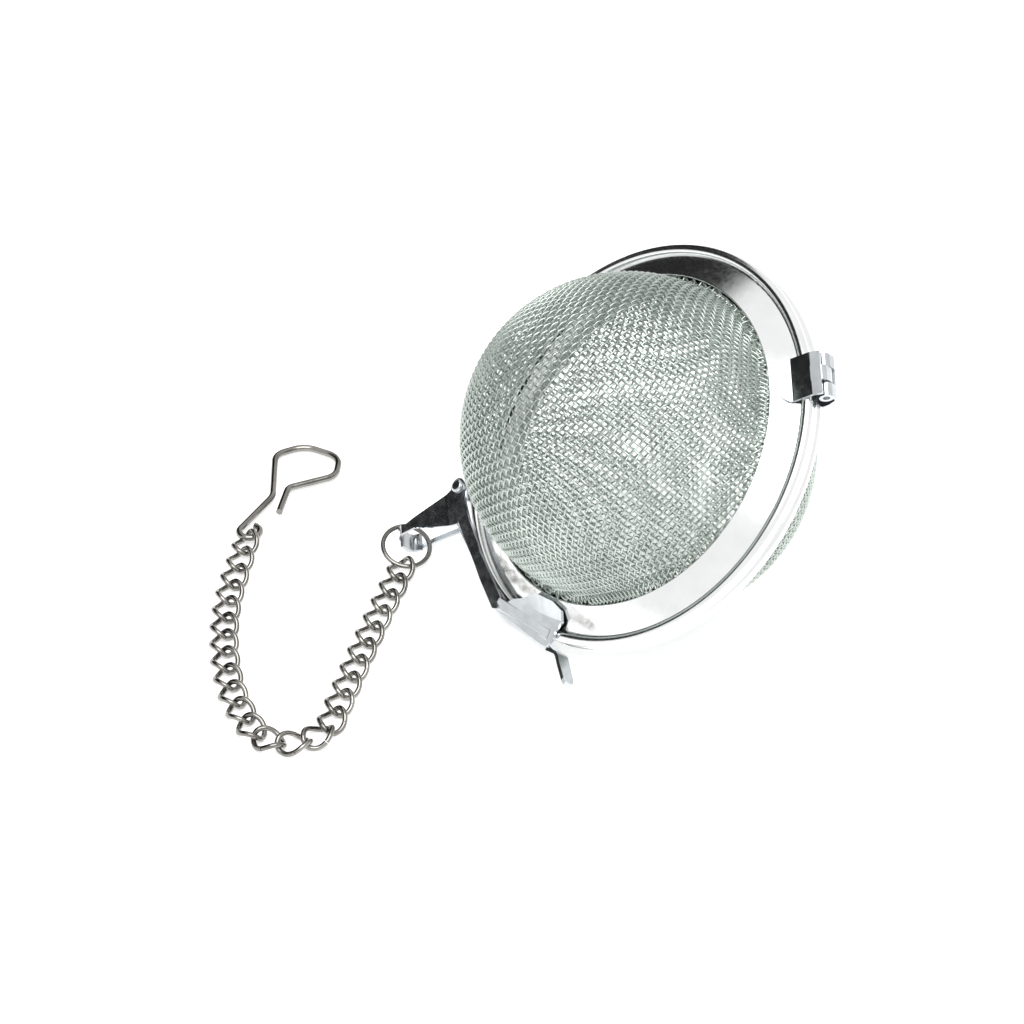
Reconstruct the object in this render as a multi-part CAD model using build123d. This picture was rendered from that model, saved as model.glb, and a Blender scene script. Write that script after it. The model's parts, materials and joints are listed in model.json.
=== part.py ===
from build123d import *

import os
from math import asin, atan2, cos, degrees, hypot, radians, sin, sqrt, tau

# Mesh tea infuser: two woven wire domes in rolled sheet rims, hinged on one side and
# closed by a catch lever on the other, with a curb chain and a wire hook.
#
# The ball is drawn in its own frame: origin at the ball's middle, parting plane at z = 0,
# front dome towards +Z, and every angle counted from +X as seen from the front. It is then
# tipped over and set down on the table, beside the chain and the hook, which lie flat.
# Lengths are millimetres and angles are degrees.

# Rims
RIM_RADIUS = 30.0
RIM_SHEET = 0.4
PARTING_GAP = 0.07
BEAD_RADIUS = 0.9
BEAD_OPENING = (165.0, 215.0)
SKIRT_INNER_RADIUS = 24.45
SKIRT_OUTER_RADIUS = 28.45
SKIRT_TOP = 3.45
SKIRT_SLOPE = 0.556
SKIRT_CROWN = 0.07
FIT_GAP = 0.02

# Mesh domes and the rings that clamp them
DOME_RADIUS = 23.25
DOME_CENTRE = 2.9
MESH_THICKNESS = 0.4
MESH_NECK_RADIUS = 1.25
MESH_FLANGE_RADIUS = 26.4
RETAINER_INNER_RADIUS = 24.0
RETAINER_OUTER_RADIUS = 26.6
RETAINER_SHEET = 0.35

# Hinge
HINGE_ANGLE = 52.0
HINGE_RADIUS = 31.35
HINGE_WIDTH = 6.4
HINGE_SHEET = 0.4
KNUCKLE_RADIUS = 1.0
KNUCKLE_BORE = 0.5
PIN_RADIUS = 0.45
PIN_RECESS = 0.4
FRONT_KNUCKLES = [(-1.1, 1.1)]
REAR_KNUCKLES = [(-3.2, -1.2), (1.2, 3.2)]
EAR_INNER_RADIUS = 25.6
EAR_ROUND = 1.9
EAR_BEND = 0.6

# Catch lever, with its rivet and bracket
RIVET_ANGLE = 227.3
RIVET_RADIUS = 31.35
RIVET_SHANK = 0.5
RIVET_HEAD = 1.0
RIVET_TAIL = 0.8
LATCH_SHEET = 0.5
LATCH_FACE = 2.25
LATCH_BORE = 0.55
LATCH_PLAY = 0.1
CATCH_SLOPE = 0.24
CATCH_RADII = (31.2, 27.2, 25.0)
CATCH_LIFT = 0.38
LATCH_EYE = 1.3
LATCH_SKIRT_DEPTH = -2.6
BRACKET_SHEET = 0.4
BRACKET_SPAN = (225.6, 231.5)
BRACKET_BORE = 0.52
BRACKET_BEND = 0.35
STRAP_CORNERS = [(32.6, 238.0), (31.8, 268.0), (31.2, 290.0)]
STRAP_CHORD = 30.85
STRAP_EDGE = -0.76
STRAP_FRONT = 1.54
STRAP_LEAN = 0.5
STRAP_BEND = 0.7
BAIL_ANGLE = 235.5
LATCH_ROUND = 0.25
# Outlines of the lever's web and catch plate: radius and angle of each corner.
WEB_INNER_EDGE = [(30.4, 229.0), (29.5, 238.0), (28.9, 246.0), (29.1, 255.0), (29.6, 264.0), (30.7, 270.0)]
WEB_OUTER_EDGE = [(31.4, 268.0), (30.6, 258.0), (30.4, 250.0), (31.2, 240.0), (32.0, 234.0), (32.4, 229.0)]
CATCH_SPAN = (266.0, 297.0)
CATCH_OUTLINE = [
    (31.3, 268.0), (30.2, 270.0), (28.2, 272.3), (26.9, 276.5), (25.2, 281.0), (25.1, 289.5),
    (25.9, 293.6), (27.4, 294.4), (28.9, 292.4), (29.9, 292.6), (30.6, 291.5), (31.4, 290.0),
]
# Thumb tab: its line seen from the front, and its edges seen from below (across, height).
TAB_PATH = [(31.55, 287.0), (31.5, 290.6), (35.3, 295.8)]
TAB_SIDE = [(8.6, -2.6), (11.4, -2.8), (15.3, -3.1), (15.3, -0.8), (12.6, -0.4), (8.6, -0.2)]
TAB_BEND = 1.2
TAB_ROUND = 0.8
BAIL_REACH = 41.8
TROUGH_EDGES = (-0.95, 1.7)
TONGUE_WIDTH = 0.65
# Bail: side of its loop, plan of its plate, side of its trough and the tongue's right-hand edge,
# from the ball's axis outwards along BAIL_ANGLE, then up or across.
BAIL_SHEET = 0.45
BAIL_LOOP = [
    (31.2, LATCH_FACE), (33.4, LATCH_FACE), (40.6, 4.4), (BAIL_REACH, 3.6), (BAIL_REACH, 0.42), (32.7, -1.25),
]
BAIL_BENDS = [1.5, 0.6, 0.35, 1.0]
BAIL_ROOM = 6.0
BAIL_PLATE = [
    (31.1, -4.95), (38.3, -1.75), (39.8, -0.95), (43.0, -0.95), (43.0, 0.9), (40.6, 0.5),
    (38.6, 0.0), (36.2, 0.6), (32.2, 1.35), (30.9, 1.35),
]
TROUGH_SIDE = [(40.2, -1.5), (43.0, -1.5), (43.0, 3.2), (41.2, 3.2)]
TONGUE_EDGE = [(32.0, 0.6), (41.5, 1.5)]

# Jump ring and chain
RING_WIRE = 0.7
RING_RADIUS = 3.5
RING_CENTRE = (-21.68, -26.19, 2.17)
RING_NORMAL = (0.37, -0.02, 1.0)
LINK_WIRE = 0.75
LINK_LENGTH = 5.4
LINK_WIDTH = 4.4
LINK_TWIST = 45.0
LINK_PITCH = 3.7
LINK_SEAM = 0.08
LINK_POINTS = 28
CHAIN_START = (-18.52, -28.85)
CHAIN_HEADING = -46.3
LINK_REST_HEIGHT = 1.06
# Each run of links: how many, and how far each turns from the one before it.
CHAIN_RUNS = [(2, 0.0), (8, 0.4), (4, -34.2), (3, -5.9), (6, -3.5), (2, 0.0)]
# Links that lean because they are threaded through a ring: roll and height, from each end.
FIRST_LINKS = [(4.8, 1.18), (-0.3, 1.06)]
LAST_LINKS = [(-15.3, 1.38), (-6.8, 1.20)]

# Hook
HOOK_WIRE = 1.0
HOOK_EYE_REACH = 2.7
HOOK_EYE_RADIUS = 1.55
HOOK_EYE_OPEN = 87.0
HOOK_EYE_HEIGHT = 1.37
HOOK_TILT = 2.0
HOOK_TOWARDS = 126.0
# Bends of the wire, counted from the middle of the eye, and the radius at each.
HOOK_CORNERS = [
    (-6.2, 6.9), (-15.7, 12.0), (-15.5, 17.0), (-10.2, 20.4), (-6.2, 17.6), (-7.0, 9.9), (-2.2, 6.0),
]
HOOK_BENDS = [4.0, 2.5, 4.0, 3.0, 2.4, 1.5]

# How the ball sits on the table
BALL_TILT = 46.7
BALL_HEIGHT = 25.44
BALL_PLACE = (11.72, 19.69)


def polar(radius, angle):
    """Point in the ball's parting plane."""
    return (radius * cos(radians(angle)), radius * sin(radians(angle)))


def polygon(points, radius=0.0):
    """Face inside a closed outline, with its corners rounded when a radius is given."""
    if radius:
        return make_face(FilletPolyline(*points, radius=radius, close=True))
    return make_face(Polyline(*points, close=True))


def sheet(points, radius, thickness):
    """Section of a bent sheet whose middle line runs through the points."""
    return trace(FilletPolyline(*points, radius=radius), thickness)


def upright(section):
    """Turn an (outward, height) section so that it stands in the XZ plane."""
    return Plane.XZ * section


def slab(section, start, end):
    """Push an (outward, height) section sideways, from y = start to y = end."""
    block = extrude(upright(section), (end - start) / 2, both=True)
    return Pos(0, (start + end) / 2, 0) * block


def revolved(section):
    """Ring or dome with this (radius, height) section."""
    return revolve(upright(section), axis=Axis.Z)


def sector(section, start, end):
    """The part of such a ring between two angles."""
    return Rot(0, 0, start) * revolve(upright(section), axis=Axis.Z, revolution_arc=end - start)


# ---------------------------------------------------------------- cups

BEAD_CENTRE = (RIM_RADIUS - BEAD_RADIUS, PARTING_GAP + BEAD_RADIUS)
SKIRT_LEAN = atan2(SKIRT_SLOPE, 1.0)


def skirt_height(radius, depth=0.0):
    """Height of a layer that lies depth under the skirt's outer surface."""
    fall = SKIRT_SLOPE * (radius - SKIRT_INNER_RADIUS)
    return SKIRT_TOP - fall - depth / cos(SKIRT_LEAN)


def sloping_band(inner, outer, depth, thickness):
    """Section of a cone-shaped washer that lies depth under the skirt's outer surface."""
    return polygon([
        (inner, skirt_height(inner, depth)),
        (outer, skirt_height(outer, depth)),
        (outer, skirt_height(outer, depth + thickness)),
        (inner, skirt_height(inner, depth + thickness)),
    ])


def skirt_section():
    """Sloping sheet, slightly crowned on its outer side."""
    inner, outer = SKIRT_INNER_RADIUS, SKIRT_OUTER_RADIUS
    middle = (inner + outer) / 2
    top_in = (inner, skirt_height(inner))
    top_mid = (middle, skirt_height(middle) + SKIRT_CROWN)
    top_out = (outer, skirt_height(outer))
    low_out = (outer, skirt_height(outer, RIM_SHEET))
    low_in = (inner, skirt_height(inner, RIM_SHEET))
    face = make_face([
        ThreePointArc(top_in, top_mid, top_out).edge(),
        Line(top_out, low_out).edge(),
        Line(low_out, low_in).edge(),
        Line(low_in, top_in).edge(),
    ])
    lip = face.vertices().sort_by(Axis.X)[:2]
    return fillet(lip, RIM_SHEET * 0.35)


def bead_section():
    """Rolled edge: an open curl whose gap faces the inside of the cup."""
    ring = Circle(BEAD_RADIUS) - Circle(BEAD_RADIUS - RIM_SHEET)
    reach = 2 * BEAD_RADIUS
    start, end = BEAD_OPENING
    gap = polygon([(0, 0), polar(reach, start), polar(reach, end)])
    return Pos(*BEAD_CENTRE) * (ring - gap)


def rim():
    return revolved(skirt_section() + bead_section())


def neck_centre():
    """Centre of the curve where the dome turns out into its flange."""
    depth = RIM_SHEET + FIT_GAP + MESH_THICKNESS / 2 - MESH_NECK_RADIUS
    reach = DOME_RADIUS + MESH_NECK_RADIUS
    base = skirt_height(0, depth) - DOME_CENTRE
    a = 1 + SKIRT_SLOPE ** 2
    b = -2 * base * SKIRT_SLOPE
    c = base ** 2 - reach ** 2
    radius = (-b + sqrt(b * b - 4 * a * c)) / (2 * a)
    return radius, skirt_height(radius, depth)


def mesh_section():
    """Dome, neck and flange as one thin skin."""
    neck_r, neck_z = neck_centre()
    rise = asin((neck_z - DOME_CENTRE) / (DOME_RADIUS + MESH_NECK_RADIUS))
    half = MESH_THICKNESS / 2
    depth = RIM_SHEET + FIT_GAP

    def skin(offset):
        dome = DOME_RADIUS + offset
        neck = MESH_NECK_RADIUS - offset
        pole = (0, DOME_CENTRE + dome)
        middle = (dome * cos((rise + tau / 4) / 2), DOME_CENTRE + dome * sin((rise + tau / 4) / 2))
        foot = (dome * cos(rise), DOME_CENTRE + dome * sin(rise))
        swing = (tau / 2 + rise + 3 * tau / 4 - SKIRT_LEAN) / 2
        turn = (neck_r + neck * cos(swing), neck_z + neck * sin(swing))
        flange = (neck_r - neck * sin(SKIRT_LEAN), neck_z - neck * cos(SKIRT_LEAN))
        edge = (MESH_FLANGE_RADIUS, skirt_height(MESH_FLANGE_RADIUS, depth + half - offset))
        return pole, middle, foot, turn, flange, edge

    outer = skin(half)
    inner = skin(-half)
    edges = [Line(outer[5], inner[5]).edge(), Line(inner[0], outer[0]).edge()]
    for pole, middle, foot, turn, flange, edge in (outer, inner):
        edges += [
            ThreePointArc(pole, middle, foot).edge(),
            ThreePointArc(foot, turn, flange).edge(),
            Line(flange, edge).edge(),
        ]
    return make_face(edges)


def mesh():
    return revolved(mesh_section())


def mesh_retainer():
    depth = RIM_SHEET + FIT_GAP + MESH_THICKNESS + FIT_GAP
    band = sloping_band(RETAINER_INNER_RADIUS, RETAINER_OUTER_RADIUS, depth, RETAINER_SHEET)
    return revolved(band)


# ---------------------------------------------------------------- hinge

def hinge_leaf(knuckles):
    """Front leaf in the hinge's frame: +X outwards, the pin along Y at HINGE_RADIUS."""
    half = HINGE_SHEET / 2
    lift = half + FIT_GAP + SKIRT_CROWN
    flat = BEAD_CENTRE[1] + BEAD_RADIUS + FIT_GAP + half
    ear_start = (EAR_INNER_RADIUS, skirt_height(EAR_INNER_RADIUS, -lift))
    bend_radius = SKIRT_INNER_RADIUS + (SKIRT_TOP + lift / cos(SKIRT_LEAN) - flat) / SKIRT_SLOPE
    shoulder = (HINGE_RADIUS - KNUCKLE_RADIUS + FIT_GAP * 5, flat)
    lip = (HINGE_RADIUS + KNUCKLE_RADIUS / 2, flat - KNUCKLE_RADIUS / 2)
    outside = (HINGE_RADIUS + KNUCKLE_RADIUS - half, flat - KNUCKLE_RADIUS)
    strap = sheet([ear_start, (bend_radius, flat), shoulder, lip], EAR_BEND, HINGE_SHEET)
    curl = sheet([shoulder, lip, outside, (outside[0], 0)], EAR_BEND / 2, HINGE_SHEET)
    barrel = Circle(KNUCKLE_RADIUS) - Circle(KNUCKLE_BORE)

    reach = HINGE_RADIUS + 2 * KNUCKLE_RADIUS - EAR_INNER_RADIUS
    outline = Pos(EAR_INNER_RADIUS + EAR_ROUND, 0) * Ellipse(EAR_ROUND, HINGE_WIDTH / 2)
    outline += Pos(EAR_INNER_RADIUS + EAR_ROUND + reach / 2, 0) * Rectangle(reach, HINGE_WIDTH)
    leaf = slab(strap, -HINGE_WIDTH / 2, HINGE_WIDTH / 2) & extrude(outline, SKIRT_TOP + 1)
    for start, end in knuckles:
        leaf += slab(curl + Pos(HINGE_RADIUS, 0) * barrel, start, end)
    return leaf - slab(Pos(HINGE_RADIUS, 0) * Circle(KNUCKLE_BORE), -HINGE_WIDTH, HINGE_WIDTH)


def hinge_pin():
    half = HINGE_WIDTH / 2 - PIN_RECESS
    return slab(Pos(HINGE_RADIUS, 0) * Circle(PIN_RADIUS), -half, half)


# ---------------------------------------------------------------- catch lever

def drilled(solid, radius):
    """Cut the rivet's hole through a piece."""
    tool = extrude(Pos(*polar(RIVET_RADIUS, RIVET_ANGLE)) * Circle(radius), 2 * LATCH_FACE, both=True)
    return solid - tool


def button(radius, height, rounding):
    """Round head standing on z = 0 with a rounded outer edge."""
    head = Pos(0, 0, height / 2) * Cylinder(radius, height)
    return fillet(head.edges().group_by(Axis.Z)[-1], rounding)


def rivet():
    """Domed head in front, shank, and a flatter head behind the bracket."""
    front = LATCH_FACE + LATCH_SHEET / 2 + LATCH_PLAY / 2
    back = LATCH_FACE - LATCH_SHEET / 2 - LATCH_PLAY - BRACKET_SHEET - FIT_GAP
    shank = Pos(0, 0, (front + back) / 2) * Cylinder(RIVET_SHANK, front - back)
    head = Pos(0, 0, front) * button(RIVET_HEAD, RIVET_HEAD / 2, RIVET_HEAD * 0.42)
    tail = Pos(0, 0, back) * mirror(button(RIVET_TAIL, RIVET_TAIL / 2, RIVET_TAIL * 0.3), about=Plane.XY)
    return Pos(*polar(RIVET_RADIUS, RIVET_ANGLE)) * (shank + head + tail)


def latch_bracket():
    """Bent strip on the rear rim that holds the rivet outside both beads."""
    half = BRACKET_SHEET / 2
    wall = RIM_RADIUS + LATCH_PLAY + half
    top = LATCH_FACE - LATCH_SHEET / 2 - LATCH_PLAY - half
    bottom = -(BEAD_CENTRE[1] + BEAD_RADIUS + FIT_GAP + half)
    foot = BEAD_CENTRE[0] - 1.5 * BEAD_RADIUS
    lip = RIVET_RADIUS + LATCH_EYE
    strip = sheet([(foot, bottom), (wall, bottom), (wall, top), (lip, top)], BRACKET_BEND, BRACKET_SHEET)
    return drilled(sector(strip, *BRACKET_SPAN), BRACKET_BORE)


def latch_web():
    """Flat front face of the lever, from its eye to the catch plate."""
    face = polygon([polar(*point) for point in WEB_INNER_EDGE + WEB_OUTER_EDGE], LATCH_ROUND)
    eye = Pos(*polar(RIVET_RADIUS, RIVET_ANGLE)) * Circle(LATCH_EYE)
    return Pos(0, 0, LATCH_FACE - LATCH_SHEET / 2) * extrude(face + eye, LATCH_SHEET)


def catch_height(radius):
    """Middle of the catch plate's sheet: it rests on the bead and slopes like the skirt."""
    return LATCH_FACE - CATCH_SLOPE * (radius - BEAD_CENTRE[0])


def strap_length(start, end, slope):
    """Straight length of the lever's edge and outer wall, its front sloping by this much."""
    drop = slope * (STRAP_CHORD + STRAP_EDGE - BEAD_CENTRE[0])
    bend = (STRAP_EDGE, LATCH_FACE - drop)
    inside = (STRAP_EDGE - STRAP_FRONT, bend[1] + slope * STRAP_FRONT)
    section = sheet([inside, bend, (STRAP_LEAN, LATCH_SKIRT_DEPTH)], STRAP_BEND, LATCH_SHEET)
    run = Vector(*end) - Vector(*start)
    along = run.normalized()
    frame = Plane(origin=(*start, 0), x_dir=along.cross(Vector(0, 0, 1)), z_dir=-along)
    return extrude(frame * section, -run.length)


def latch_strap():
    """Front edge and outer wall of the lever, in two straight lengths mitred at a knee."""
    start, knee, end = [Vector(*polar(*corner)) for corner in STRAP_CORNERS]
    overrun = 1.0
    first = (knee - start).normalized()
    second = (end - knee).normalized()
    mitre = Plane(origin=(knee.X, knee.Y, 0), z_dir=first + second)
    near = split(strap_length(start, knee + first * overrun, 0.0), bisect_by=mitre, keep=Keep.BOTTOM)
    far = split(strap_length(knee - second * overrun, end, CATCH_SLOPE), bisect_by=mitre, keep=Keep.TOP)
    return near + far


def catch_plate():
    """Tongue of the lever that presses on the front rim and holds the ball shut."""
    outer, knee, inner = CATCH_RADII
    section = sheet([
        (outer, catch_height(outer)),
        (knee, catch_height(knee)),
        (inner, skirt_height(inner) + CATCH_LIFT),
    ], 0.5, LATCH_SHEET)
    plan = polygon([polar(*point) for point in CATCH_OUTLINE], LATCH_ROUND)
    return sector(section, *CATCH_SPAN) & extrude(plan, 2 * SKIRT_TOP)


def thumb_tab():
    """Outer wall carried on past the catch plate, flared out to lift with a thumb."""
    plan = trace(FilletPolyline(*[polar(*point) for point in TAB_PATH], radius=TAB_BEND), LATCH_SHEET)
    wall = extrude(plan, 2 * LATCH_SKIRT_DEPTH)
    return wall & slab(polygon(TAB_SIDE, TAB_ROUND), -RIM_RADIUS - 6, -RIM_RADIUS + 6)


def bail():
    """Loop for the jump ring: a rising plate, a trough and a narrow return tongue."""
    block = slab(sheet(BAIL_LOOP, BAIL_BENDS, BAIL_SHEET), -BAIL_ROOM, BAIL_ROOM)
    upper = block & Pos(0, 0, LATCH_FACE / 2) * extrude(polygon(BAIL_PLATE, LATCH_ROUND), BAIL_ROOM)
    trough = block & slab(polygon(TROUGH_SIDE), *TROUGH_EDGES)
    (root_u, root_v), (tip_u, tip_v) = TONGUE_EDGE
    tongue_plan = polygon([
        (tip_u, tip_v), (tip_u, tip_v - TONGUE_WIDTH), (root_u, root_v - TONGUE_WIDTH), (root_u, root_v),
    ])
    tongue = block & extrude(tongue_plan, -BAIL_ROOM / 2)
    return Rot(0, 0, BAIL_ANGLE) * (upper + trough + tongue)


def latch():
    lever = latch_web() + latch_strap() + catch_plate() + thumb_tab() + bail()
    return drilled(lever, LATCH_BORE)


# ---------------------------------------------------------------- chain and hook

def round_wire(path, diameter):
    """Round bar along a path."""
    start = Plane(origin=path @ 0, z_dir=path % 0)
    return sweep(start * Circle(diameter / 2), path=path)


def jump_ring():
    place = Plane(origin=RING_CENTRE, z_dir=RING_NORMAL)
    return place * Torus(RING_RADIUS, RING_WIRE / 2)


def chain_link():
    """One curb link: an oval of wire twisted about its long axis, butted at one side."""
    half_length = (LINK_LENGTH - LINK_WIRE) / 2
    half_width = (LINK_WIDTH - LINK_WIRE) / 2
    seam = asin(LINK_SEAM / 2 / half_length)
    points = []
    for step in range(LINK_POINTS + 1):
        turn = tau / 4 + seam + (tau - 2 * seam) * step / LINK_POINTS
        x = half_length * cos(turn)
        across = half_width * sin(turn)
        twist = -radians(LINK_TWIST) * x / half_length
        points.append((x, across * cos(twist), across * sin(twist)))
    return round_wire(Spline(*points), LINK_WIRE)


def link_places():
    """Centre, heading and roll of every link, from the ring to the hook."""
    places = []
    x, y = CHAIN_START
    heading = CHAIN_HEADING
    turns = [turn for count, turn in CHAIN_RUNS for _ in range(count)]
    for index, turn in enumerate(turns):
        if index:
            x += LINK_PITCH / 2 * cos(radians(heading))
            y += LINK_PITCH / 2 * sin(radians(heading))
            heading += turn
            x += LINK_PITCH / 2 * cos(radians(heading))
            y += LINK_PITCH / 2 * sin(radians(heading))
        from_end = len(turns) - 1 - index
        roll, height = 0.0, LINK_REST_HEIGHT
        if index < len(FIRST_LINKS):
            roll, height = FIRST_LINKS[index]
        elif from_end < len(LAST_LINKS):
            roll, height = LAST_LINKS[from_end]
        places.append(((x, y, height), heading, roll))
    return places


def hook_place():
    """Where the hook's eye sits: just past the last link, lifted by it."""
    (x, y, _), heading, _ = link_places()[-1]
    return (
        x + HOOK_EYE_REACH * cos(radians(heading)),
        y + HOOK_EYE_REACH * sin(radians(heading)),
        HOOK_EYE_HEIGHT,
    )


def hook():
    """One length of wire: a ring eye, a cranked stem and a rounded crook with an open end."""
    first_x, first_y = HOOK_CORNERS[0]
    leave = 90 + degrees(atan2(first_y, first_x) - asin(HOOK_EYE_RADIUS / hypot(first_x, first_y)))
    around = CenterArc((0, 0), HOOK_EYE_RADIUS, leave - HOOK_EYE_OPEN, HOOK_EYE_OPEN - 360)
    stem = FilletPolyline(around @ 1, *HOOK_CORNERS, radius=HOOK_BENDS)
    wire = round_wire(Wire(around.edges() + stem.edges()), HOOK_WIRE)
    lean = Rot(0, 0, HOOK_TOWARDS) * Rot(0, HOOK_TILT, 0) * Rot(0, 0, -HOOK_TOWARDS)
    return Pos(*hook_place()) * lean * wire


# ---------------------------------------------------------------- assembly

def ball_pieces():
    """Every piece of the ball, in the ball's own frame."""
    on_hinge = Rot(0, 0, HINGE_ANGLE)
    pieces = {
        "front_rim": rim(),
        "front_mesh": mesh(),
        "front_mesh_retainer": mesh_retainer(),
        "hinge_front_leaf": on_hinge * hinge_leaf(FRONT_KNUCKLES),
        "hinge_rear_leaf": on_hinge * mirror(hinge_leaf(REAR_KNUCKLES), about=Plane.XY),
        "hinge_pin": on_hinge * hinge_pin(),
        "latch_bracket": latch_bracket(),
        "latch_rivet": rivet(),
        "latch": latch(),
    }
    for name in ("rim", "mesh", "mesh_retainer"):
        pieces["rear_" + name] = mirror(pieces["front_" + name], about=Plane.XY)
    return pieces


def table_pieces():
    """Ring, chain and hook, placed on the table around the ball's middle."""
    pieces = {"jump_ring": jump_ring(), "hook": hook()}
    link = chain_link()
    for number, (centre, heading, roll) in enumerate(link_places(), start=1):
        pieces[f"chain_link_{number:02d}"] = Pos(*centre) * Rot(0, 0, heading) * Rot(roll, 0, 0) * link
    return pieces


def main():
    os.makedirs("parts", exist_ok=True)
    ball_frame = Pos(*BALL_PLACE, BALL_HEIGHT) * Rot(BALL_TILT, 0, 0)
    placed = {name: ball_frame * piece for name, piece in ball_pieces().items()}
    for name, piece in table_pieces().items():
        placed[name] = Pos(*BALL_PLACE, 0) * piece
    for name, piece in placed.items():
        export_step(piece, f"parts/{name}.step")


if __name__ == "__main__":
    main()
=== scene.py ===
import json
from math import atan, atan2, cos, radians, sin, tau

import bpy
import numpy as np
from mathutils import Matrix, Vector

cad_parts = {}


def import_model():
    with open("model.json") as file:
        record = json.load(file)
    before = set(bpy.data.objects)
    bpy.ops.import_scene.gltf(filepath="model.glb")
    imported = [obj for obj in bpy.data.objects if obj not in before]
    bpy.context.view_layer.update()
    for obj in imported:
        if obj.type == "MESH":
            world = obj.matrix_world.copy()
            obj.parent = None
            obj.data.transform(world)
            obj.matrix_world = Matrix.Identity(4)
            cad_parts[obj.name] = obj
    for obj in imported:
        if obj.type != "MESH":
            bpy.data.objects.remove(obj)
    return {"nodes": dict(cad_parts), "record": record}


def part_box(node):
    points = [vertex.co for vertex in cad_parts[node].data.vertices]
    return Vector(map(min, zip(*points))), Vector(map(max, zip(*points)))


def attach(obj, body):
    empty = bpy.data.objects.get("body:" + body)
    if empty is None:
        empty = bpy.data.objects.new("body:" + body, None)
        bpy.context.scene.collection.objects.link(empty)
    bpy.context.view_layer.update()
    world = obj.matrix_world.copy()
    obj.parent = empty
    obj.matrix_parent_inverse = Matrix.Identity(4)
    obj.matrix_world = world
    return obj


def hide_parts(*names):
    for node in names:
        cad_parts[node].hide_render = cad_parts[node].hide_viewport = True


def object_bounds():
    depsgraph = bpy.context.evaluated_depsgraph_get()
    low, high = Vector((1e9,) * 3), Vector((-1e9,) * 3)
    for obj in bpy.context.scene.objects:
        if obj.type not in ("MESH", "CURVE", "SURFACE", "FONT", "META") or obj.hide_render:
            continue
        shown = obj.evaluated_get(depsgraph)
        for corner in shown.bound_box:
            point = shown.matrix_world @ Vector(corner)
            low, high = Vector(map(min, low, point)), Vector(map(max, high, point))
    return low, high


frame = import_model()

CAD_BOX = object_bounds()
MM = 0.001


# ---------------------------------------------------------------- the ball's own frame

def joint(name):
    """A joint's entry in the record."""
    return next(j for j in frame["record"]["behaviour"]["joints"] if j["name"] == name)


def ball_frame():
    """Middle of the ball and its axes: across, up the slope, and out through the front dome."""
    corners = [Vector(c) for node in ("front_rim", "rear_rim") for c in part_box(node)]
    low = Vector([min(c[k] for c in corners) for k in range(3)])
    high = Vector([max(c[k] for c in corners) for k in range(3)])
    front = -Vector(joint("latch_pivot")["axis"]).normalized()
    across = Vector((1, 0, 0))
    return (low + high) / 2, across, front.cross(across), front


CENTRE, ACROSS, UPHILL, FRONT = ball_frame()
BALL = Matrix((ACROSS, UPHILL, FRONT)).transposed().to_4x4()
BALL.translation = CENTRE
POLISH_TILT = atan2(-FRONT.y, FRONT.z)


# ---------------------------------------------------------------- meshes

def add_mesh(name, verts, faces, material, smooth=True):
    """New object from vertex and face lists."""
    mesh = bpy.data.meshes.new(name)
    mesh.from_pydata([tuple(v) for v in verts], [], faces)
    mesh.validate()
    mesh.polygons.foreach_set("use_smooth", [smooth] * len(mesh.polygons))
    mesh.update()
    obj = bpy.data.objects.new(name, mesh)
    obj.data.materials.append(material)
    bpy.context.scene.collection.objects.link(obj)
    return obj


def tube(points, normals, radius, sides, verts, faces):
    """Add a round wire along the points, with flat ends, to the vertex and face lists."""
    tangents = np.gradient(points, axis=0)
    tangents /= np.linalg.norm(tangents, axis=1)[:, None]
    binormals = np.cross(tangents, normals)
    binormals /= np.linalg.norm(binormals, axis=1)[:, None]
    upward = np.cross(binormals, tangents)
    first = len(verts)
    turn = np.arange(sides) * tau / sides
    for point, side, up in zip(points, binormals, upward):
        ring = point + radius * (np.cos(turn)[:, None] * side + np.sin(turn)[:, None] * up)
        verts.extend(ring)
    for k in range(len(points) - 1):
        a = first + k * sides
        for s in range(sides):
            n = (s + 1) % sides
            faces.append((a + s, a + n, a + sides + n, a + sides + s))
    last = first + (len(points) - 1) * sides
    faces.append(tuple(range(first + sides - 1, first - 1, -1)))
    faces.append(tuple(range(last, last + sides)))


# ---------------------------------------------------------------- woven domes

WEAVE_PITCH = 0.94 * MM
WIRE_RADIUS = 0.155 * MM
WIRE_SIDES = 6
CRIMP = 0.92                    # rise of a wire over a crossing, in wire radii
DOME_RADIUS = 23.25 * MM
DOME_CENTRE = 2.9 * MM          # height above the joint plane of the two rims
NECK_RADIUS = 1.25 * MM         # bend from the dome out to its clamped flange
NECK_START = radians(90 - 3.2)  # polar angle where the dome ends
FLANGE_SLOPE = atan(0.556)
CLOTH_END = 2.3 * MM            # cloth beyond the start of the neck
NET_SPARE = 1.25                # rows of the net to rows on the dome, as its cells close up
FEWEST_CROSSINGS = 3            # a shorter wire at the edge is left out
UNIT_ERROR = 1e-3
TINY = 1e-9


def net(step, count):
    """Equal-sided woven net on a unit sphere: a quadrant of crossings, from two straight wires."""
    grid = np.zeros((count, count, 3))
    for k in range(count):
        grid[k, 0] = (sin(k * step), 0, cos(k * step))
        grid[0, k] = (0, sin(k * step), cos(k * step))
    for i in range(1, count):
        for j in range(1, count):
            middle = grid[i - 1, j] + grid[i, j - 1]
            middle /= np.linalg.norm(middle)
            back = grid[i - 1, j - 1]
            grid[i, j] = 2 * middle.dot(back) * middle - back
    return grid


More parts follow.
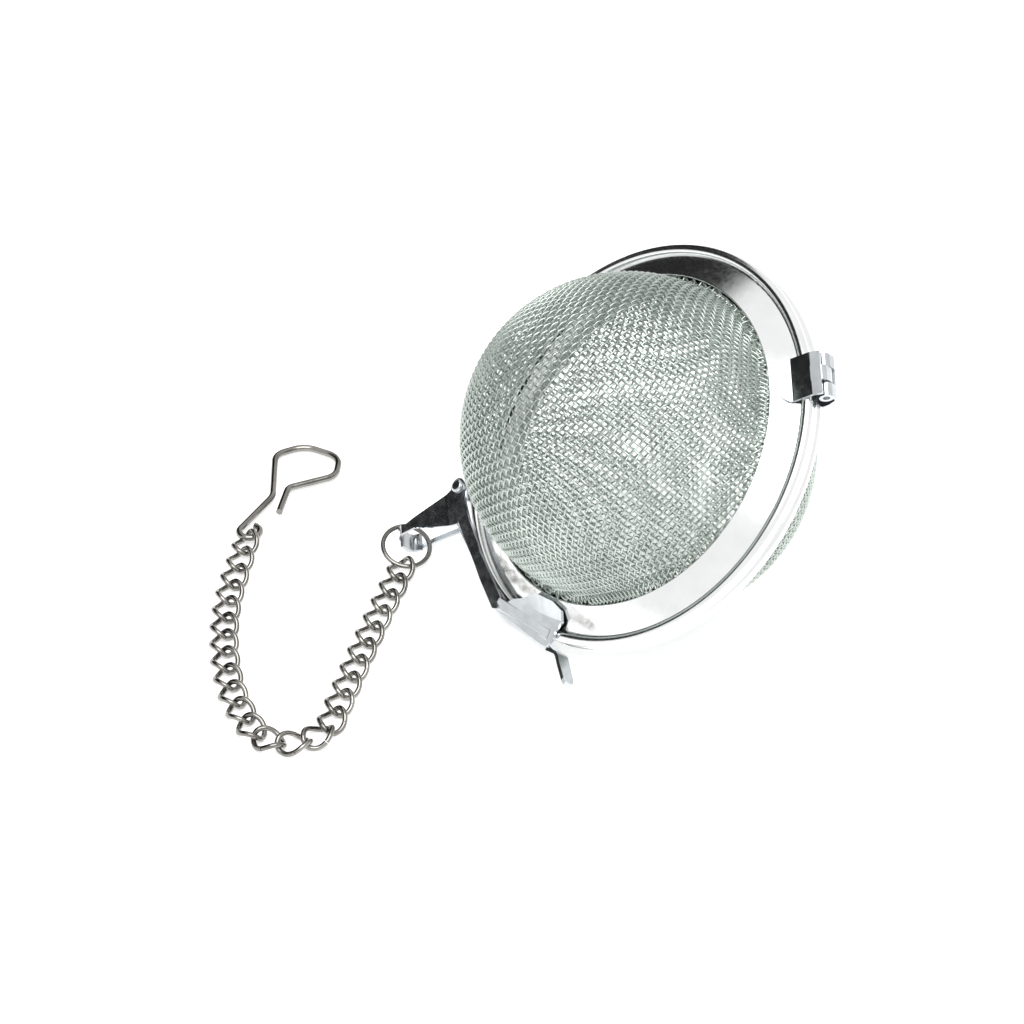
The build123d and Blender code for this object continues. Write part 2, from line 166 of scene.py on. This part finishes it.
def on_cloth(direction, lift):
    """Point of the dome, or of the neck below it, and the surface normal there."""
    polar = np.arccos(np.clip(direction[2], -1, 1))
    flat = np.hypot(direction[0], direction[1])
    outward = np.array([direction[0], direction[1], 0]) / max(flat, TINY)
    if polar <= NECK_START:
        return np.array([0, 0, DOME_CENTRE]) + (DOME_RADIUS + lift) * direction, direction
    run = (polar - NECK_START) * DOME_RADIUS
    reach = DOME_RADIUS + NECK_RADIUS
    neck_r = reach * sin(NECK_START)
    neck_z = DOME_CENTRE + reach * cos(NECK_START)
    bend = min(run / NECK_RADIUS, NECK_START - FLANGE_SLOPE)
    lean = NECK_START - bend
    normal = sin(lean) * outward + np.array([0, 0, cos(lean)])
    point = neck_r * outward + np.array([0, 0, neck_z]) - (NECK_RADIUS - lift) * normal
    rest = run - bend * NECK_RADIUS
    along = cos(FLANGE_SLOPE) * outward - np.array([0, 0, sin(FLANGE_SLOPE)])
    return point + max(rest, 0) * along, normal


def crossings(grid, family, row):
    """Crossings along one wire, each with its direction from the dome's centre and over (1) or under (-1)."""
    count = len(grid)
    found = []
    for column in range(-count + 1, count):
        i, j = (column, row) if family == 0 else (row, column)
        direction = grid[abs(i), abs(j)] * np.array([1 if i >= 0 else -1, 1 if j >= 0 else -1, 1])
        found.append((direction, 1 if (i + j + family) % 2 == 0 else -1))
    return found


def on_dome(direction, end):
    """Whether a crossing is a sound point of the net above the cloth's edge."""
    sound = abs(np.linalg.norm(direction) - 1) < UNIT_ERROR
    return sound and np.arccos(np.clip(direction[2], -1, 1)) < end


def unbroken(wire, end):
    """The stretch of a wire's crossings that holds its middle and lies on the dome."""
    low = high = len(wire) // 2
    if not on_dome(wire[low][0], end):
        return []
    while low > 0 and on_dome(wire[low - 1][0], end):
        low -= 1
    while high < len(wire) - 1 and on_dome(wire[high + 1][0], end):
        high += 1
    return wire[low:high + 1]


def wire_path(wire):
    """Points and normals of a wire: lifted at each crossing, and on the cloth halfway to the next."""
    path = []
    for k, (direction, sign) in enumerate(wire):
        path.append(on_cloth(direction, sign * WIRE_RADIUS * CRIMP))
        if k < len(wire) - 1:
            between = direction + wire[k + 1][0]
            path.append(on_cloth(between / np.linalg.norm(between), 0.0))
    points, normals = zip(*path)
    return np.array(points), np.array(normals)


def woven(name, family, side, material):
    """One family of wires of a dome: they pass over and under the other family in turn."""
    step = WEAVE_PITCH / DOME_RADIUS
    end = NECK_START + CLOTH_END / DOME_RADIUS
    count = int(end / step * NET_SPARE)
    grid = net(step, count)
    verts, faces = [], []
    for row in range(-count + 1, count):
        wire = unbroken(crossings(grid, family, row), end)
        if len(wire) < FEWEST_CROSSINGS:
            continue
        points, normals = wire_path(wire)
        points[:, 2] *= side
        normals[:, 2] *= side
        tube(points, normals, WIRE_RADIUS, WIRE_SIDES, verts, faces)
    matrix = np.array(BALL)
    verts = np.array(verts) @ matrix[:3, :3].T + matrix[:3, 3]
    return add_mesh(name, verts, faces, material)


# ---------------------------------------------------------------- materials

CLOUD_SCALE = 220.0
SMEAR_SCALE = 95.0
LINE_SCALE = (300.0, 300.0, 9000.0)
GLOSS_SPREAD = 0.25             # how far the grain moves the roughness either way
WORN_GLOSS = 0.85               # roughness of handled places, as a share of the rest
RELIEF_DEPTH = 0.02 * MM


def new_material(name):
    material = bpy.data.materials.new(name)
    material.use_nodes = True
    nodes = material.node_tree.nodes
    return material, nodes, material.node_tree.links, nodes["Principled BSDF"]


def noise(nodes, links, scale, detail, coordinate=None):
    texture = nodes.new("ShaderNodeTexNoise")
    texture.inputs["Scale"].default_value = scale
    texture.inputs["Detail"].default_value = detail
    if coordinate is None:
        coordinate = nodes.new("ShaderNodeTexCoord").outputs["Object"]
    links.new(coordinate, texture.inputs["Vector"])
    return texture.outputs["Fac"]


def ramp(nodes, links, factor, low, high, start=0.3, end=0.7):
    stops = nodes.new("ShaderNodeValToRGB")
    stops.color_ramp.elements[0].position = start
    stops.color_ramp.elements[0].color = low
    stops.color_ramp.elements[1].position = end
    stops.color_ramp.elements[1].color = high
    links.new(factor, stops.inputs["Fac"])
    return stops.outputs["Color"]


def grey(value, tint=(1, 1, 1)):
    return tuple(value * c for c in tint) + (1,)


def product(nodes, links, first, second):
    """First value or colour channel times the second."""
    times = nodes.new("ShaderNodeMath")
    times.operation = "MULTIPLY"
    links.new(first, times.inputs[0])
    links.new(second, times.inputs[1])
    return times.outputs["Value"]


def stretched(nodes, links, scale):
    """Object coordinates drawn out along one axis, for polishing lines."""
    mapping = nodes.new("ShaderNodeMapping")
    mapping.inputs["Scale"].default_value = scale
    mapping.inputs["Rotation"].default_value = (POLISH_TILT, 0, 0)
    links.new(nodes.new("ShaderNodeTexCoord").outputs["Object"], mapping.inputs["Vector"])
    return mapping.outputs["Vector"]


def steel(name, dark, light, tint, rough, grain_scale, bump):
    """Metal with cloudy colour, handling smears, polishing lines and a fine grain in its relief."""
    material, nodes, links, shader = new_material(name)
    clouds = noise(nodes, links, CLOUD_SCALE, 3.0)
    links.new(ramp(nodes, links, clouds, grey(dark, tint), grey(light, tint)), shader.inputs["Base Color"])
    shader.inputs["Metallic"].default_value = 1.0

    grain = noise(nodes, links, grain_scale, 4.0)
    smears = noise(nodes, links, SMEAR_SCALE, 2.0)
    gloss = ramp(nodes, links, grain, grey(rough * (1 - GLOSS_SPREAD)), grey(rough * (1 + GLOSS_SPREAD)))
    wear = ramp(nodes, links, smears, grey(WORN_GLOSS), grey(1.0), 0.45, 0.65)
    links.new(product(nodes, links, gloss, wear), shader.inputs["Roughness"])

    lines = noise(nodes, links, 1.0, 2.0, stretched(nodes, links, LINE_SCALE))
    relief = nodes.new("ShaderNodeBump")
    relief.inputs["Strength"].default_value = bump
    relief.inputs["Distance"].default_value = RELIEF_DEPTH
    links.new(product(nodes, links, grain, lines), relief.inputs["Height"])
    links.new(relief.outputs["Normal"], shader.inputs["Normal"])
    return material


MATERIALS = {
    "rim_steel": steel("polished_rim", 0.84, 0.90, (0.99, 1.0, 1.0), 0.18, 1500.0, 0.05),
    "latch_steel": steel("pressed_latch", 0.52, 0.66, (0.95, 1.0, 1.03), 0.2, 900.0, 0.06),
    "chain_steel": steel("chain_wire", 0.17, 0.33, (1.0, 0.97, 0.90), 0.16, 2600.0, 0.15),
    "mesh_steel": steel("woven_wire", 0.44, 0.58, (0.90, 1.0, 0.93), 0.32, 3000.0, 0.10),
}


def finish_nodes():
    """Every CAD node gets the material of its slot."""
    slots = {part["node"]: part["material_slot"] for part in frame["record"]["subparts"]}
    for name, obj in frame["nodes"].items():
        material = MATERIALS[slots[name]]
        if obj.material_slots:
            for entry in obj.material_slots:
                entry.material = material
        else:
            obj.data.materials.append(material)


# ---------------------------------------------------------------- stage

CAMERA_AZIMUTH = 60.0
CAMERA_ELEVATION = 39.0
CAMERA_DISTANCE = 401.7 * MM
CAMERA_ASIDE = -17.90 * MM
CAMERA_RAISE = -9.435 * MM
LENS = 100.0
SENSOR = 36.0
FLOOR_REACH = 3.0
FLOOR_DROP = 0.02 * MM
FLOOR_GLOW = 0.45
KEY_TOWARDS = (0.3, -0.2, 1.0)
KEY_DISTANCE = 0.9
KEY_SIZE = 0.7
KEY_POWER = 6.0
TENT_LIGHT = 1.0
TENT_DARK = 0.02
# Dark openings of the tent: direction, and the cosines where each starts and is full.
OPENINGS = [
    ((-0.93, 0.00, 0.36), 0.87, 0.94),
    ((-0.555, -0.60, 0.576), 0.88, 0.94),
]


def camera():
    """Long lens at the photograph's viewing angle."""
    az, el = radians(CAMERA_AZIMUTH), radians(CAMERA_ELEVATION)
    back = Vector((sin(az) * cos(el), -cos(az) * cos(el), sin(el)))
    right = Vector((cos(az), sin(az), 0))
    up = back.cross(right)
    data = bpy.data.cameras.new("camera")
    data.lens = LENS
    data.sensor_width = SENSOR
    data.clip_start = 0.01
    obj = bpy.data.objects.new("camera", data)
    turn = Matrix((right, up, back)).transposed().to_4x4()
    turn.translation = CENTRE + back * CAMERA_DISTANCE + right * CAMERA_ASIDE + up * CAMERA_RAISE
    obj.matrix_world = turn
    bpy.context.scene.collection.objects.link(obj)
    bpy.context.scene.camera = obj


def floor():
    """Wide plain sheet under the object."""
    material, nodes, links, shader = new_material("floor_white")
    fine = noise(nodes, links, 60.0, 2.0)
    links.new(ramp(nodes, links, fine, grey(0.93), grey(0.95)), shader.inputs["Base Color"])
    shader.inputs["Roughness"].default_value = 0.9
    shader.inputs["Emission Color"].default_value = (1, 1, 1, 1)
    shader.inputs["Emission Strength"].default_value = FLOOR_GLOW
    reach, z = FLOOR_REACH, CAD_BOX[0][2] - FLOOR_DROP
    corners = [(-reach, -reach, z), (reach, -reach, z), (reach, reach, z), (-reach, reach, z)]
    obj = add_mesh("floor", corners, [(0, 1, 2, 3)], material, smooth=False)


def key_light():
    """One large soft light above the object."""
    data = bpy.data.lights.new("key", "AREA")
    data.size = KEY_SIZE
    data.energy = KEY_POWER
    obj = bpy.data.objects.new("key", data)
    direction = Vector(KEY_TOWARDS).normalized()
    obj.location = CENTRE + direction * KEY_DISTANCE
    obj.rotation_euler = direction.to_track_quat("Z", "Y").to_euler()
    bpy.context.scene.collection.objects.link(obj)


def world():
    """White tent with dark openings, which give the polished steel its black streaks."""
    tent = bpy.data.worlds.new("tent")
    tent.use_nodes = True
    nodes, links = tent.node_tree.nodes, tent.node_tree.links
    background = nodes["Background"]
    background.inputs["Color"].default_value = (1, 1, 1, 1)
    direction = nodes.new("ShaderNodeTexCoord").outputs["Generated"]
    brightness = None
    for towards, start, full in OPENINGS:
        dot = nodes.new("ShaderNodeVectorMath")
        dot.operation = "DOT_PRODUCT"
        links.new(direction, dot.inputs[0])
        dot.inputs[1].default_value = Vector(towards).normalized()
        shade = nodes.new("ShaderNodeMapRange")
        shade.interpolation_type = "SMOOTHSTEP"
        shade.inputs["From Min"].default_value = start
        shade.inputs["From Max"].default_value = full
        shade.inputs["To Min"].default_value = TENT_LIGHT
        shade.inputs["To Max"].default_value = TENT_DARK
        links.new(dot.outputs["Value"], shade.inputs["Value"])
        if brightness is None:
            brightness = shade.outputs["Result"]
            continue
        darker = nodes.new("ShaderNodeMath")
        darker.operation = "MINIMUM"
        links.new(brightness, darker.inputs[0])
        links.new(shade.outputs["Result"], darker.inputs[1])
        brightness = darker.outputs["Value"]
    links.new(brightness, background.inputs["Strength"])
    bpy.context.scene.world = tent


# ---------------------------------------------------------------- build

finish_nodes()
for side, body, node in ((1, "front_cup", "front_mesh"), (-1, "rear_cup", "rear_mesh")):
    for family in (0, 1):
        wires = woven(f"{node}_wires_{'ab'[family]}", family, side, MATERIALS["mesh_steel"])
        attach(wires, body)
        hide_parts(node)

camera()
floor()
world()
key_light()

bpy.context.scene.view_settings.view_transform = "Standard"
